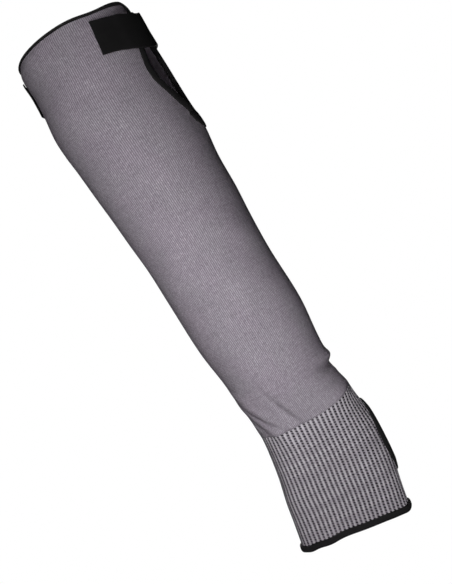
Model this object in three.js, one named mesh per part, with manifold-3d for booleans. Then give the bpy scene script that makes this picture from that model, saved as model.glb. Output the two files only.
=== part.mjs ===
// A knitted cut resistant sleeve, in the form that it keeps on an arm and a hand.
// The origin is the centre of the arm opening. +Z points to the shoulder, +X to the thumb side, and -Y is the front.
// A place on the knit is given by an angle, which is 0 at the thumb side and grows towards the front,
// by how far down it lies below the arm opening, and by its lift off the knit's outer face.
import * as THREE from 'three';
import { ParametricGeometry } from 'three/addons/geometries/ParametricGeometry.js';
import { mergeVertices } from 'three/addons/utils/BufferGeometryUtils.js';
import Module from 'manifold-3d';

const { cos, sin, abs, exp, max, min, PI, round } = Math;
const { lerp, clamp, smoothstep, degToRad, radToDeg } = THREE.MathUtils;

// The sleeve's own measures, in millimetres
const SLEEVE_LENGTH = 459;
const CUFF_LENGTH = 101;
const ARM_WIDTH = 109;
const ARM_DEPTH = 97;
const WRIST_WIDTH = 83.5;
const WRIST_DEPTH = 60;
const WRIST_SHIFT = 11;
const HEM_WIDTH = 94;
const HEM_DEPTH = 30;
const HEM_SHIFT = -0.3;
const HEM_TILT = degToRad(6.4);
const HAND_FULLNESS = 0.2;

// The knit: a fine one on the arm and a ribbed one on the hand
const KNIT_THICKNESS = 1.5;
const RIB_THICKNESS = 1.8;
const BODY_COLUMNS = 40;
const CUFF_COLUMNS = 40;
const CUFF_BUNCHING = 0.35;

// The slit from the arm opening down, and the opening for the thumb, both as cut in the knit
const SLIT_LENGTH = 101;
const SLIT_WIDTH = 38.2;
const SLIT_FAR_ANGLE = degToRad(-1.3);
const SLIT_CORNER = 9;
const THUMB_LENGTH = 49.5;
const THUMB_WIDTH = 27;
const THUMB_ANGLE = degToRad(-17);
const THUMB_ABOVE_HEM = 57.5;
const THUMB_SWELL = 9.7;

// The tape that is folded over each cut edge, and the small gap that pieces keep
const TAPE_THICKNESS = 0.8;
const GAP = 0.3;
const TAPE_GAP = 0.5;
const BAND_GAP = 0.6;
const RIM_TAPE_WIDTH = 1.3;
const SLIT_TAPE_WIDTH = 4.7;
const SLIT_TIP_TAPE_WIDTH = 13;
const THUMB_TAPE_WIDTH = 3.6;
const HEM_TAPE_WIDTH = 3.2;
const HEM_TAPE_THICKNESS = 1.3;

// The hook and loop closure across the slit
const STRAP_WIDTH = 29.5;
const STRAP_THICKNESS = 1.8;
const STRAP_DROP = 19.5;
const STRAP_SEWN_ANGLE = degToRad(76);
const STRAP_FREE_ANGLE = degToRad(-150);
const STRAP_SLANT = degToRad(3.5);
const PATCH_THICKNESS = 1.2;
const PATCH_START_ANGLE = degToRad(-60);
const PATCH_END_ANGLE = degToRad(-186);
const CINCH_DEPTH = 1.3;

// The largest rise of an edge or a seam, and how far it reaches up and down the knit
const EDGE_WAVE = 7.5;
const WAVE_REACH = 20;

// The largest crease or bulge in the knit
const FOLD_HEIGHT = 2.4;
const FOLD_RUN = 30;
const FOLD_BREADTH = 9;

const BODY_LENGTH = SLEEVE_LENGTH - CUFF_LENGTH;
const TAPE_TOP = TAPE_GAP + TAPE_THICKNESS;
const RIM_EDGE = TAPE_TOP;
const HEM_EDGE = SLEEVE_LENGTH - TAPE_GAP - HEM_TAPE_THICKNESS;

// Sections from the arm opening to the cuff. Down is a share of the body's length, width and depth
// are how far the arm's measure has turned into the wrist's, and shift is a share of the wrist's.
const BODY_SECTIONS = [
  { down: 0.000, width: 0.26, depth: 0.11, shift: -0.12, fullness: 0.00 },
  { down: 0.025, width: 0.04, depth: 0.03, shift: -0.16, fullness: 0.00 },
  { down: 0.075, width: 0.05, depth: 0.00, shift: -0.12, fullness: 0.00 },
  { down: 0.123, width: 0.06, depth: 0.00, shift: -0.12, fullness: 0.00 },
  { down: 0.180, width: 0.00, depth: 0.00, shift: -0.17, fullness: 0.00 },
  { down: 0.223, width: 0.02, depth: 0.00, shift: -0.11, fullness: 0.00 },
  { down: 0.270, width: 0.09, depth: 0.00, shift: 0.00, fullness: 0.00 },
  { down: 0.335, width: 0.16, depth: 0.04, shift: 0.13, fullness: 0.00 },
  { down: 0.400, width: 0.29, depth: 0.08, shift: 0.21, fullness: 0.00 },
  { down: 0.470, width: 0.38, depth: 0.16, shift: 0.32, fullness: 0.00 },
  { down: 0.540, width: 0.53, depth: 0.24, shift: 0.38, fullness: 0.00 },
  { down: 0.630, width: 0.60, depth: 0.31, shift: 0.42, fullness: 0.00 },
  { down: 0.760, width: 0.61, depth: 0.43, shift: 0.60, fullness: 0.00 },
  { down: 0.850, width: 0.89, depth: 0.60, shift: 0.69, fullness: 0.00 },
  { down: 0.940, width: 1.08, depth: 0.84, shift: 0.76, fullness: 0.12 },
  { down: 1.000, width: 1.02, depth: 1.00, shift: 0.97, fullness: 0.30 },
];

// Sections from the cuff's line to the hem, as shares of the cuff's length and of the way to the hem's measures
const CUFF_SECTIONS = [
  { down: 0.00, width: -0.05, depth: 0.00, shift: 0.03, tilt: 0.00, fullness: 0.30 },
  { down: 0.10, width: 0.02, depth: 0.10, shift: 0.08, tilt: 0.00, fullness: 0.45 },
  { down: 0.34, width: 0.36, depth: 0.42, shift: 0.23, tilt: 0.22, fullness: 0.80 },
  { down: 0.58, width: 0.80, depth: 0.68, shift: 0.47, tilt: 0.55, fullness: 1.00 },
  { down: 0.75, width: 0.94, depth: 0.84, shift: 0.64, tilt: 0.80, fullness: 1.00 },
  { down: 1.00, width: 1.00, depth: 1.00, shift: 1.00, tilt: 1.00, fullness: 1.00 },
];

// How far apart the rings of the body's surface lie, down to a share of the body's length
const BODY_RINGS = [
  { to: 0.04, step: 4.5 },
  { to: 0.24, step: 14 },
  { to: 0.35, step: 8 },
  { to: 0.80, step: 20 },
  { to: 1.00, step: 9 },
];
const CUFF_RINGS = [
  { to: 0.86, step: 8 },
  { to: 1.00, step: 13 },
];

// Creases and bulges of the knit. Down is a share of the sleeve's length, angle and slant are in degrees,
// and run, breadth and height are shares of the largest fold's.
const FOLDS = [
  { down: 0.240, angle: 4, slant: 0, run: 0.55, breadth: 1.80, height: 0.65 },
  { down: 0.420, angle: 58, slant: 25, run: 0.80, breadth: 1.40, height: 0.45 },
  { down: 0.455, angle: 72, slant: 30, run: 0.90, breadth: 1.20, height: -0.45 },
  { down: 0.610, angle: 120, slant: 60, run: 1.00, breadth: 1.40, height: 0.30 },
  { down: 0.705, angle: 12, slant: 5, run: 0.60, breadth: 0.80, height: 0.60 },
  { down: 0.722, angle: 25, slant: 10, run: 0.70, breadth: 0.60, height: -0.60 },
  { down: 0.715, angle: 158, slant: 20, run: 0.70, breadth: 1.00, height: 0.50 },
  { down: 0.750, angle: 118, slant: 68, run: 0.75, breadth: 0.55, height: -0.90 },
  { down: 0.745, angle: 98, slant: 66, run: 0.70, breadth: 0.80, height: 0.55 },
  { down: 0.775, angle: 132, slant: 64, run: 0.45, breadth: 0.70, height: 0.70 },
  { down: 0.778, angle: 42, slant: -10, run: 0.60, breadth: 0.90, height: 0.60 },
  { down: 0.735, angle: -95, slant: 20, run: 1.10, breadth: 1.00, height: 0.50 },
  { down: 0.760, angle: -130, slant: -15, run: 0.90, breadth: 0.90, height: -0.55 },
  { down: 0.440, angle: -70, slant: 15, run: 1.20, breadth: 1.30, height: 0.50 },
];

// How wide the slit gapes below the arm opening, down as a share of its length, width of its widest place
const SLIT_SPREAD = [
  { down: 0.00, width: 0.53 },
  { down: 0.20, width: 0.70 },
  { down: 0.40, width: 0.88 },
  { down: 0.56, width: 1.00 },
  { down: 0.66, width: 0.98 },
  { down: 0.78, width: 0.82 },
  { down: 0.88, width: 0.63 },
  { down: 0.96, width: 0.36 },
  { down: 1.00, width: 0.14 },
];

// Where the arm opening, the cuff's line and the hem rise or drop. Down is a share of the sleeve's length,
// angle and spread are in degrees, and reach and drop are shares of the largest wave's.
const EDGE_WAVES = [
  { down: 0.00, angle: 66, spread: 16, reach: 0.90, drop: 0.24 },
  { down: 0.00, angle: 34, spread: 16, reach: 0.90, drop: -0.14 },
  { down: 0.78, angle: -2, spread: 42, reach: 1.00, drop: -1.00 },
  { down: 0.78, angle: 160, spread: 25, reach: 1.00, drop: -0.30 },
  { down: 1.00, angle: 88, spread: 48, reach: 1.50, drop: -0.40 },
];

// How far the strap's centre line falls below its height at the thumb side, as a share of the strap's width.
// Down is counted in degrees from the thumb side to the back.
const STRAP_LINE = [
  { down: -80, fall: 0.09 },
  { down: -60, fall: 0.17 },
  { down: -40, fall: 0.28 },
  { down: -22, fall: 0.26 },
  { down: -4, fall: 0.11 },
  { down: 30, fall: 0.04 },
  { down: 90, fall: 0.10 },
  { down: 190, fall: 0.27 },
];

// The tape's width from the tip of the slit up either side: away from the tip, as a share of the slit's length
const SLIT_TAPE = [
  { down: 0.00, share: 1.0 },
  { down: 0.10, share: 0.3 },
  { down: 0.30, share: 0.0 },
  { down: 2.00, share: 0.0 },
];

// Every column of a table at a place between its rows, on a smooth curve through them
function rowAt(rows, at) {
  const last = rows.length - 1;
  let i = 0;
  while (i < last - 1 && rows[i + 1].down < at) i += 1;
  const [start, end] = [rows[i], rows[i + 1]];
  const before = rows[max(i - 1, 0)];
  const after = rows[min(i + 2, last)];
  const span = end.down - start.down;
  const t = clamp((at - start.down) / span, 0, 1);
  const values = {};
  for (const column of Object.keys(start)) {
    const leave = ((end[column] - before[column]) / (end.down - before.down)) * span;
    const arrive = ((after[column] - start[column]) / (after.down - start.down)) * span;
    values[column] = start[column] * (2 * t ** 3 - 3 * t ** 2 + 1) + end[column] * (3 * t ** 2 - 2 * t ** 3)
      + leave * (t ** 3 - 2 * t ** 2 + t) + arrive * (t ** 3 - t ** 2);
  }
  return values;
}

function sectionAt(down) {
  if (down < BODY_LENGTH) {
    const row = rowAt(BODY_SECTIONS, down / BODY_LENGTH);
    return {
      halfWidth: lerp(ARM_WIDTH, WRIST_WIDTH, row.width) / 2,
      halfDepth: lerp(ARM_DEPTH, WRIST_DEPTH, row.depth) / 2,
      shift: WRIST_SHIFT * row.shift,
      tilt: 0,
      fullness: HAND_FULLNESS * row.fullness,
    };
  }
  const row = rowAt(CUFF_SECTIONS, (down - BODY_LENGTH) / CUFF_LENGTH);
  return {
    halfWidth: lerp(WRIST_WIDTH, HEM_WIDTH, row.width) / 2,
    halfDepth: lerp(WRIST_DEPTH, HEM_DEPTH, row.depth) / 2,
    shift: lerp(WRIST_SHIFT, HEM_SHIFT, row.shift),
    tilt: HEM_TILT * row.tilt,
    fullness: HAND_FULLNESS * row.fullness,
  };
}

// A turn from one angle to another, the short way round
const turnBetween = (from, to) => Math.atan2(sin(to - from), cos(to - from));

// The knit stands out where it leads on to the thumb
function thumbSwell(angle, down) {
  const along = (down - (SLEEVE_LENGTH - THUMB_ABOVE_HEM)) / (0.5 * THUMB_LENGTH) + 0.12;
  const around = turnBetween(THUMB_ANGLE, angle) / degToRad(36);
  return THUMB_SWELL * exp(-(along ** 2) - around ** 2);
}

// How far an edge or a seam has dropped from a level ring
function edgeDrop(angle, down) {
  let drop = 0;
  for (const wave of EDGE_WAVES) {
    const around = turnBetween(degToRad(wave.angle), angle) / degToRad(wave.spread);
    const along = (down - wave.down * SLEEVE_LENGTH) / (wave.reach * WAVE_REACH);
    drop += EDGE_WAVE * wave.drop * exp(-(around ** 2) - along ** 2);
  }
  return drop;
}

function formPoint(angle, down) {
  const { halfWidth, halfDepth, shift, tilt, fullness } = sectionAt(down);
  const across = halfWidth * cos(angle) * (1 + fullness * sin(angle) ** 2) + thumbSwell(angle, down);
  const forward = halfDepth * sin(angle) * (1 + fullness * cos(angle) ** 2);
  const fall = down + across * sin(tilt) + edgeDrop(angle, down);
  return new THREE.Vector3(shift + across * cos(tilt), -forward, -fall);
}

// The strap's centre line dips at the slit's near edge and at the back
function strapCentre(angle) {
  return STRAP_DROP + STRAP_WIDTH * rowAt(STRAP_LINE, -radToDeg(angle)).fall;
}

// How far the creases, and the strap's pull, lift the knit off its plain form
function relief(angle, down) {
  const { halfWidth, halfDepth } = sectionAt(down);
  const radius = (halfWidth + halfDepth) / 2;
  let height = 0;
  for (const fold of FOLDS) {
    const around = turnBetween(degToRad(fold.angle), angle) * radius;
    const along = down - fold.down * SLEEVE_LENGTH;
    const slant = degToRad(fold.slant);
    const run = (around * cos(slant) - along * sin(slant)) / (fold.run * FOLD_RUN);
    const breadth = (around * sin(slant) + along * cos(slant)) / (fold.breadth * FOLD_BREADTH);
    height += fold.height * FOLD_HEIGHT * exp(-(run ** 2) - breadth ** 2);
  }
  const pulled = (down - strapCentre(turnBetween(0, angle))) / (0.75 * STRAP_WIDTH);
  return height - CINCH_DEPTH * exp(-(pulled ** 2));
}

const NUDGE = 0.01;

// The outer face's directions around and along the sleeve, each as long as the face moves with it, and its normal
function faceAt(angle, down) {
  const point = formPoint(angle, down);
  const around = formPoint(angle + NUDGE, down).sub(point).divideScalar(NUDGE);
  const along = formPoint(angle, down + NUDGE).sub(point).divideScalar(NUDGE);
  const normal = new THREE.Vector3().crossVectors(around, along).normalize();
  return { point, around, along, normal };
}

function sleevePoint(angle, down, lift) {
  const { point, normal } = faceAt(angle, down);
  return point.addScaledVector(normal, lift + relief(angle, down));
}

// Where a step over the face, from a place and in a direction along it, ends
function stepFrom({ angle, down }, { around, along }, step) {
  const [a, b, c] = [around.dot(around), around.dot(along), along.dot(along)];
  const [p, q] = [step.dot(around), step.dot(along)];
  const determinant = a * c - b * b;
  return { angle: angle + (p * c - q * b) / determinant, down: down + (q * a - p * b) / determinant };
}

// A closed geometry with one vertex at each place
function merged(geometry) {
  geometry.deleteAttribute('normal');
  geometry.deleteAttribute('uv');
  return mergeVertices(geometry, 1e-4);
}

// A flat piece laid on the sleeve: its x turns into the angle, y into the way down and z into the lift
function laidOnSleeve(geometry, place) {
  const positions = geometry.getAttribute('position');
  for (let i = 0; i < positions.count; i += 1) {
    const { angle, down, lift } = place(positions.getX(i), positions.getY(i), positions.getZ(i));
    positions.setXYZ(i, ...sleevePoint(angle, down, lift).toArray());
  }
  return merged(geometry);
}

// The angles of a tube's columns, even on the arm and closer together at the thumb on the hand
const bodyAngles = Array.from({ length: BODY_COLUMNS }, (_, i) => (2 * PI * i) / BODY_COLUMNS);
const cuffAngles = Array.from({ length: CUFF_COLUMNS }, (_, i) => {
  const turn = (2 * PI * i) / CUFF_COLUMNS;
  return THUMB_ANGLE + turn - CUFF_BUNCHING * sin(turn);
});

// A tube of knit: its outer face down one side of the wall, and its inner face back up the other
function knitTube({ top, bottom, zones, angles, thickness }) {
  const outer = [{ down: top, lift: 0 }];
  let from = top;
  for (const { to, step } of zones) {
    const end = lerp(top, bottom, to);
    const count = max(round((end - from) / step), 1);
    for (let i = 1; i <= count; i += 1) outer.push({ down: lerp(from, end, i / count), lift: 0 });
    from = end;
  }
  const inner = outer.map(({ down }) => ({ down, lift: -thickness })).reverse();
  const rings = [...outer, ...inner];
  const tube = new ParametricGeometry((u, v, target) => {
    const { down, lift } = rings[round(v * rings.length) % rings.length];
    target.copy(sleevePoint(angles[round(u * angles.length) % angles.length], down, lift));
  }, angles.length, rings.length);
  return merged(tube);
}

// A tape folded over the cut edge that a closed row of stations follows, with the knit on the stations' left
function edgeTape(stations, knit, thickness) {
  const top = TAPE_GAP + thickness;
  const profile = (width) => [
    [width, TAPE_GAP],
    [width / 2, top],
    [-TAPE_GAP / 2, top],
    [-top, 0],
    [-top, -knit],
    [-TAPE_GAP / 2, -knit - top],
    [width / 2, -knit - top],
    [width, -knit - TAPE_GAP],
    [width / 2, -knit - TAPE_GAP],
    [-TAPE_GAP, -knit - TAPE_GAP],
    [-TAPE_GAP, TAPE_GAP],
    [width / 2, TAPE_GAP],
  ];
  const count = stations.length;
  const corners = profile(0).length;
  const tape = new ParametricGeometry((u, v, target) => {
    const i = round(u * count) % count;
    const station = stations[i];
    const [previous, next] = [stations[(i + count - 1) % count], stations[(i + 1) % count]];
    const face = faceAt(station.angle, station.down);
    const travel = formPoint(next.angle, next.down).sub(formPoint(previous.angle, previous.down));
    const inward = travel.cross(face.normal).normalize();
    const [inset, lift] = profile(station.width)[round(v * corners) % corners];
    const place = stepFrom(station, face, inward.multiplyScalar(inset));
    target.copy(sleevePoint(place.angle, place.down, lift));
  }, count, corners);
  return merged(tape);
}

const wasm = await Module();
wasm.setup();

function cut(geometry, tools) {
  const solidOf = (shape) => new wasm.Manifold(new wasm.Mesh({
    numProp: 3,
    vertProperties: new Float32Array(shape.getAttribute('position').array),
    triVerts: new Uint32Array(shape.index.array),
  }));
  let solid = solidOf(geometry);
  for (const tool of tools) solid = solid.subtract(solidOf(tool));
  const { vertProperties, triVerts } = solid.getMesh();
  const result = new THREE.BufferGeometry();
  result.setAttribute('position', new THREE.BufferAttribute(vertProperties, 3));
  result.setIndex(new THREE.BufferAttribute(triVerts, 1));
  return result;
}

// The slit's near edge swings out from the far one and back, and its corners at the arm opening are rounded
const SLIT_RADIUS = (ARM_WIDTH + ARM_DEPTH) / 4;

// The slit as it is cut: down its near edge, round its tip and up its far edge
function slitOutline() {
  const farX = SLIT_FAR_ANGLE * SLIT_RADIUS;
  const nearX = (share) => farX + SLIT_WIDTH * rowAt(SLIT_SPREAD, share).width;
  const downAt = (share) => RIM_EDGE + share * SLIT_LENGTH;
  const point = (x, y) => new THREE.Vector2(x, y);
  const corner = SLIT_CORNER / SLIT_LENGTH;
  const tipStart = 0.95;
  const tipHalf = (nearX(tipStart) - farX) / 2;
  const shares = [corner, 0.2, 0.3, 0.4, 0.5, 0.6, 0.7, 0.8, 0.88, tipStart];
  const nearCorner = new THREE.QuadraticBezierCurve(
    point(nearX(0) + SLIT_CORNER, RIM_EDGE),
    point(nearX(corner), RIM_EDGE),
    point(nearX(corner), downAt(corner)),
  );
  const nearEdge = new THREE.SplineCurve(shares.map((share) => point(nearX(share), downAt(share))));
  const tip = new THREE.EllipseCurve(farX + tipHalf, downAt(tipStart), tipHalf, (1 - tipStart) * SLIT_LENGTH, 0, PI);
  const farEdge = new THREE.LineCurve(point(farX, downAt(tipStart)), point(farX, downAt(corner)));
  const farCorner = new THREE.QuadraticBezierCurve(
    point(farX, downAt(corner)),
    point(farX, RIM_EDGE),
    point(farX - SLIT_CORNER, RIM_EDGE),
  );
  return [
    ...nearCorner.getPoints(3),
    ...nearEdge.getSpacedPoints(15).slice(1),
    ...tip.getPoints(9).slice(1),
    ...farEdge.getPoints(13).slice(1),
    ...farCorner.getPoints(3).slice(1),
  ];
}

const slitPoints = slitOutline();

function slitTool() {
  const [start, end] = [slitPoints[0], slitPoints.at(-1)];
  const above = -SLIT_CORNER;
  const shape = new THREE.Shape([
    ...slitPoints,
    new THREE.Vector2(end.x, above),
    new THREE.Vector2(start.x, above),
  ]);
  const depth = 14;
  const flat = new THREE.ExtrudeGeometry(shape, { depth, steps: 4, bevelEnabled: false });
  return laidOnSleeve(flat, (x, y, z) => ({ angle: x / SLIT_RADIUS, down: y, lift: z - depth / 2 }));
}

function openingStations() {
  const tip = RIM_EDGE + SLIT_LENGTH;
  const slit = slitPoints.map(({ x, y }) => {
    const away = (tip - y) / SLIT_LENGTH;
    const width = lerp(SLIT_TAPE_WIDTH, SLIT_TIP_TAPE_WIDTH, rowAt(SLIT_TAPE, away).share);
    const narrowed = lerp(RIM_TAPE_WIDTH, width, smoothstep(y - RIM_EDGE, -SLIT_CORNER / 2, SLIT_CORNER));
    return { angle: x / SLIT_RADIUS, down: y, width: narrowed };
  });
  const from = slit.at(-1).angle;
  const to = slit[0].angle - 2 * PI;
  const apart = PI / BODY_COLUMNS / 2;
  const rimAngles = bodyAngles.map((angle) => angle - 2 * PI).reverse();
  const rim = rimAngles.filter((angle) => angle < from - apart && angle > to + apart).map((angle) => {
    const beside = min(from - angle, angle - to) * SLIT_RADIUS;
    const width = lerp(slit[0].width, RIM_TAPE_WIDTH, smoothstep(beside, SLIT_CORNER, 3 * SLIT_CORNER));
    return { angle, down: RIM_EDGE, width };
  });
  return [...slit, ...rim];
}

const THUMB_DOWN = SLEEVE_LENGTH - THUMB_ABOVE_HEM;
const THUMB_TURN = THUMB_WIDTH / 2 / faceAt(THUMB_ANGLE, THUMB_DOWN).around.length();
const THUMB_STATIONS = 28;

function thumbTool() {
  const plug = new THREE.CylinderGeometry(1, 1, 1, THUMB_STATIONS, 4);
  const depth = 9;
  return laidOnSleeve(plug, (x, y, z) => ({
    angle: THUMB_ANGLE + THUMB_TURN * x,
    down: THUMB_DOWN - (THUMB_LENGTH / 2) * z,
    lift: y * depth,
  }));
}

function thumbStations() {
  return Array.from({ length: THUMB_STATIONS }, (_, i) => {
    const turn = (2 * PI * i) / THUMB_STATIONS;
    return {
      angle: THUMB_ANGLE + THUMB_TURN * cos(turn),
      down: THUMB_DOWN + (THUMB_LENGTH / 2) * sin(turn),
      width: THUMB_TAPE_WIDTH,
    };
  });
}

function hemStations() {
  return cuffAngles.map((angle) => ({ angle, down: HEM_EDGE, width: HEM_TAPE_WIDTH }));
}

// A band round the arm, as the strap and its loop patch are
function armBand({ start, end, slant, thickness, liftAt }) {
  const segments = round(abs(end - start) / degToRad(8));
  const flat = new THREE.BoxGeometry(1, STRAP_WIDTH, thickness, segments, 3, 1);
  return laidOnSleeve(flat, (x, y, z) => {
    const angle = lerp(end, start, x + 0.5) + slant * (y / STRAP_WIDTH - 0.5);
    return { angle, down: strapCentre(angle) + y, lift: liftAt(angle) + thickness / 2 + z };
  });
}

// The strap steps up on to the tape at the slit, and on to the patch at the back
function strapLift(angle) {
  const nearTape = SLIT_FAR_ANGLE + (SLIT_WIDTH + SLIT_TAPE_WIDTH) / SLIT_RADIUS;
  const farTape = SLIT_FAR_ANGLE - (SLIT_CORNER + SLIT_TAPE_WIDTH) / SLIT_RADIUS;
  const step = degToRad(10);
  const overTape = smoothstep(angle, farTape - step, farTape) * (1 - smoothstep(angle, nearTape, nearTape + step));
  const overPatch = 1 - smoothstep(angle, PATCH_START_ANGLE, PATCH_START_ANGLE + step);
  return BAND_GAP + TAPE_TOP * overTape + (BAND_GAP + PATCH_THICKNESS) * overPatch;
}

const finish = (color, roughness) => new THREE.MeshStandardMaterial({ color, roughness, metalness: 0 });
const sleeve = new THREE.Group();

function addPiece(name, geometry, material) {
  geometry.computeVertexNormals();
  const mesh = new THREE.Mesh(geometry, material);
  mesh.name = name;
  sleeve.add(mesh);
}

const body = knitTube({
  top: RIM_EDGE,
  bottom: BODY_LENGTH - GAP,
  zones: BODY_RINGS,
  angles: bodyAngles,
  thickness: KNIT_THICKNESS,
});
addPiece('sleeve_body', cut(body, [slitTool()]), finish(0x8a858e, 0.95));

const cuff = knitTube({
  top: BODY_LENGTH + GAP,
  bottom: HEM_EDGE,
  zones: CUFF_RINGS,
  angles: cuffAngles,
  thickness: RIB_THICKNESS,
});
addPiece('hand_cuff', cut(cuff, [thumbTool()]), finish(0x7b757d, 0.95));

addPiece('opening_binding', edgeTape(openingStations(), KNIT_THICKNESS, TAPE_THICKNESS), finish(0x1b1a1b, 0.85));
addPiece('thumb_binding', edgeTape(thumbStations(), RIB_THICKNESS, TAPE_THICKNESS), finish(0x1b1a1b, 0.85));
addPiece('hem_binding', edgeTape(hemStations(), RIB_THICKNESS, HEM_TAPE_THICKNESS), finish(0x1b1a1b, 0.85));

addPiece('loop_patch', armBand({
  start: PATCH_START_ANGLE,
  end: PATCH_END_ANGLE,
  slant: STRAP_SLANT,
  thickness: PATCH_THICKNESS,
  liftAt: () => BAND_GAP,
}), finish(0x161616, 0.95));

addPiece('closure_strap', armBand({
  start: STRAP_SEWN_ANGLE,
  end: STRAP_FREE_ANGLE,
  slant: STRAP_SLANT,
  thickness: STRAP_THICKNESS,
  liftAt: strapLift,
}), finish(0x181818, 0.8));

export default sleeve;
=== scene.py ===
# %% [markdown]
# # A knitted cut resistant sleeve
# The sleeve is made as it is sewn: a fine knitted tube for the arm, a ribbed one for the hand,
# tape folded over every cut edge, and a hook and loop strap across the slit at the arm opening.
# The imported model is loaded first, because it fixes where each piece belongs and how large it is.

from math import pi, radians

import bmesh
import bpy
import numpy as np
from mathutils import Matrix, Vector


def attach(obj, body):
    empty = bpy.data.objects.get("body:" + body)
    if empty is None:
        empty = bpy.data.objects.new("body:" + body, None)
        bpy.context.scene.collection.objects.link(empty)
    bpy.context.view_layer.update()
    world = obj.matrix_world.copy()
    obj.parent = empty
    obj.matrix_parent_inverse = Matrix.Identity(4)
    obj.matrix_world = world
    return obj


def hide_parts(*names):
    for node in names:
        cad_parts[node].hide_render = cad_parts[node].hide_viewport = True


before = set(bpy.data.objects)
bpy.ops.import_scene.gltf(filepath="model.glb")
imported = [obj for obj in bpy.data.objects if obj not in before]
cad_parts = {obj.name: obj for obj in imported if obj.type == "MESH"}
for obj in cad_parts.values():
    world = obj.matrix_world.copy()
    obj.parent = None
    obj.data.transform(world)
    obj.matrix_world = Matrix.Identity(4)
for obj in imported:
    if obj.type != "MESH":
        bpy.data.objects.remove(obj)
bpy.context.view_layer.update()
MM = 0.001
print("packed pieces:", sorted(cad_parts))

# %% [markdown]
# ## The view
# The photograph looks straight at the front of the sleeve and is turned, so that the arm slants
# across the frame. The camera is turned by the same angle about its own line of sight. A camera
# that is aimed with a constraint would do as well, but a plain matrix says exactly where it is.

# %% The camera
VIEW_ROLL = radians(29.87)
VIEW_POINT = Vector((0.003, -0.661, -0.239))

camera = bpy.data.objects.new("camera", bpy.data.cameras.new("camera"))
camera.data.lens = 50
camera.data.sensor_width = 36
camera.data.clip_end = 20
look = Matrix.Rotation(radians(90), 4, "X") @ Matrix.Rotation(-VIEW_ROLL, 4, "Z")
camera.matrix_world = Matrix.Translation(VIEW_POINT) @ look
bpy.context.scene.collection.objects.link(camera)
bpy.context.scene.camera = camera
print("the camera stands at", [round(x, 3) for x in VIEW_POINT])

# %% [markdown]
# ## The light
# A tube of dull cloth shows its roundness by how its sides fall away into the dark. A row of small
# lamps, close in front of the arm and hidden from the camera, gives that fall on both sides. Weak
# ones at the right and above reach into the slit and the arm opening, and the room's own light stays
# low. The backdrop and the floor are bright only where the camera sees them, so that they don't
# flatten the cloth.

# %% Lamps
ROW_AWAY, ROW_AIM, ROW_LAMP_SIZE = 0.33, 0.01, 0.08
# across, height, power
LAMP_ROW = [
    (-0.045, 0.00, 0.28),
    (-0.120, -0.13, 0.26),
    (-0.065, -0.26, 0.45),
    (0.030, -0.38, 0.58),
]


def soft_lamp(name, place, aim, size, power):
    lamp = bpy.data.objects.new(name, bpy.data.lights.new(name, "AREA"))
    lamp.data.shape = "DISK"
    lamp.data.size = size
    lamp.data.energy = power
    lamp.location = place
    lamp.rotation_euler = (Vector(aim) - Vector(place)).to_track_quat("-Z", "Y").to_euler()
    lamp.visible_camera = False
    bpy.context.scene.collection.objects.link(lamp)


for i, (across, height, power) in enumerate(LAMP_ROW):
    place, aim = (across, -ROW_AWAY, height), (ROW_AIM, 0, height)
    soft_lamp(f"lamp_front_{i + 1}", place, aim, ROW_LAMP_SIZE, power)
soft_lamp("lamp_right", place=(1.10, -0.80, 0.05), aim=(0, 0, -0.1), size=0.30, power=0.17)
soft_lamp("lamp_above", place=(0.0, 0.0, 0.40), aim=(0, 0, 0), size=0.06, power=0.55)
soft_lamp("lamp_behind", place=(0.0, 1.4, 0.1), aim=(0, 0, -0.25), size=0.6, power=16)
print("lamps: a row of four in front, and one each at the right, above and behind")

# %% The room
ROOM_LIGHT = 0.012

world = bpy.data.worlds.new("studio")
bpy.context.scene.world = world
world.use_nodes = True
backdrop = world.node_tree.nodes["Background"]
backdrop.inputs["Color"].default_value = (1, 1, 1, 1)
seen = world.node_tree.nodes.new("ShaderNodeLightPath")
strength = world.node_tree.nodes.new("ShaderNodeMapRange")
strength.inputs["To Min"].default_value = ROOM_LIGHT
strength.inputs["To Max"].default_value = 1.0
world.node_tree.links.new(seen.outputs["Is Camera Ray"], strength.inputs["Value"])
world.node_tree.links.new(strength.outputs["Result"], backdrop.inputs["Strength"])
bpy.context.scene.view_settings.view_transform = "Standard"
print("the room's light is", ROOM_LIGHT)

# %% The floor
# it glows a little by itself, and neither that glow nor the light on it reaches the cloth
FLOOR_RADIUS = 0.9
FLOOR_LEVEL = -1.0
FLOOR_GLOW = 0.7

bm = bmesh.new()
bmesh.ops.create_circle(bm, cap_ends=True, segments=128, radius=FLOOR_RADIUS)
bmesh.ops.translate(bm, verts=bm.verts, vec=(0, 0, FLOOR_LEVEL))
floor = bpy.data.objects.new("floor", bpy.data.meshes.new("floor"))
bm.to_mesh(floor.data)
bm.free()
bpy.context.scene.collection.objects.link(floor)
pale = bpy.data.materials.new("pale_floor")
pale.use_nodes = True
pale_values = {
    "Base Color": (0.9, 0.9, 0.9, 1),
    "Roughness": 0.9,
    "Emission Color": (1, 1, 1, 1),
    "Emission Strength": FLOOR_GLOW,
}
for socket, value in pale_values.items():
    pale.node_tree.nodes["Principled BSDF"].inputs[socket].default_value = value
floor.data.materials.append(pale)
floor.visible_diffuse = False
floor.visible_glossy = False
print("the floor lies", -FLOOR_LEVEL, "m below the arm opening")

# %% [markdown]
# ## The form of the arm
# Every piece lies on the same form, so the form is worked out once. A place on it is an angle
# (0 at the thumb side, growing towards the front), a way down from the arm opening, and a lift off
# the cloth's face. The tables are the ones that the solids were made from: a share of the length,
# then shares of the way from one named measure to the next. numpy moves whole arrays at once,
# which keeps a fine mesh quick.

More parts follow.
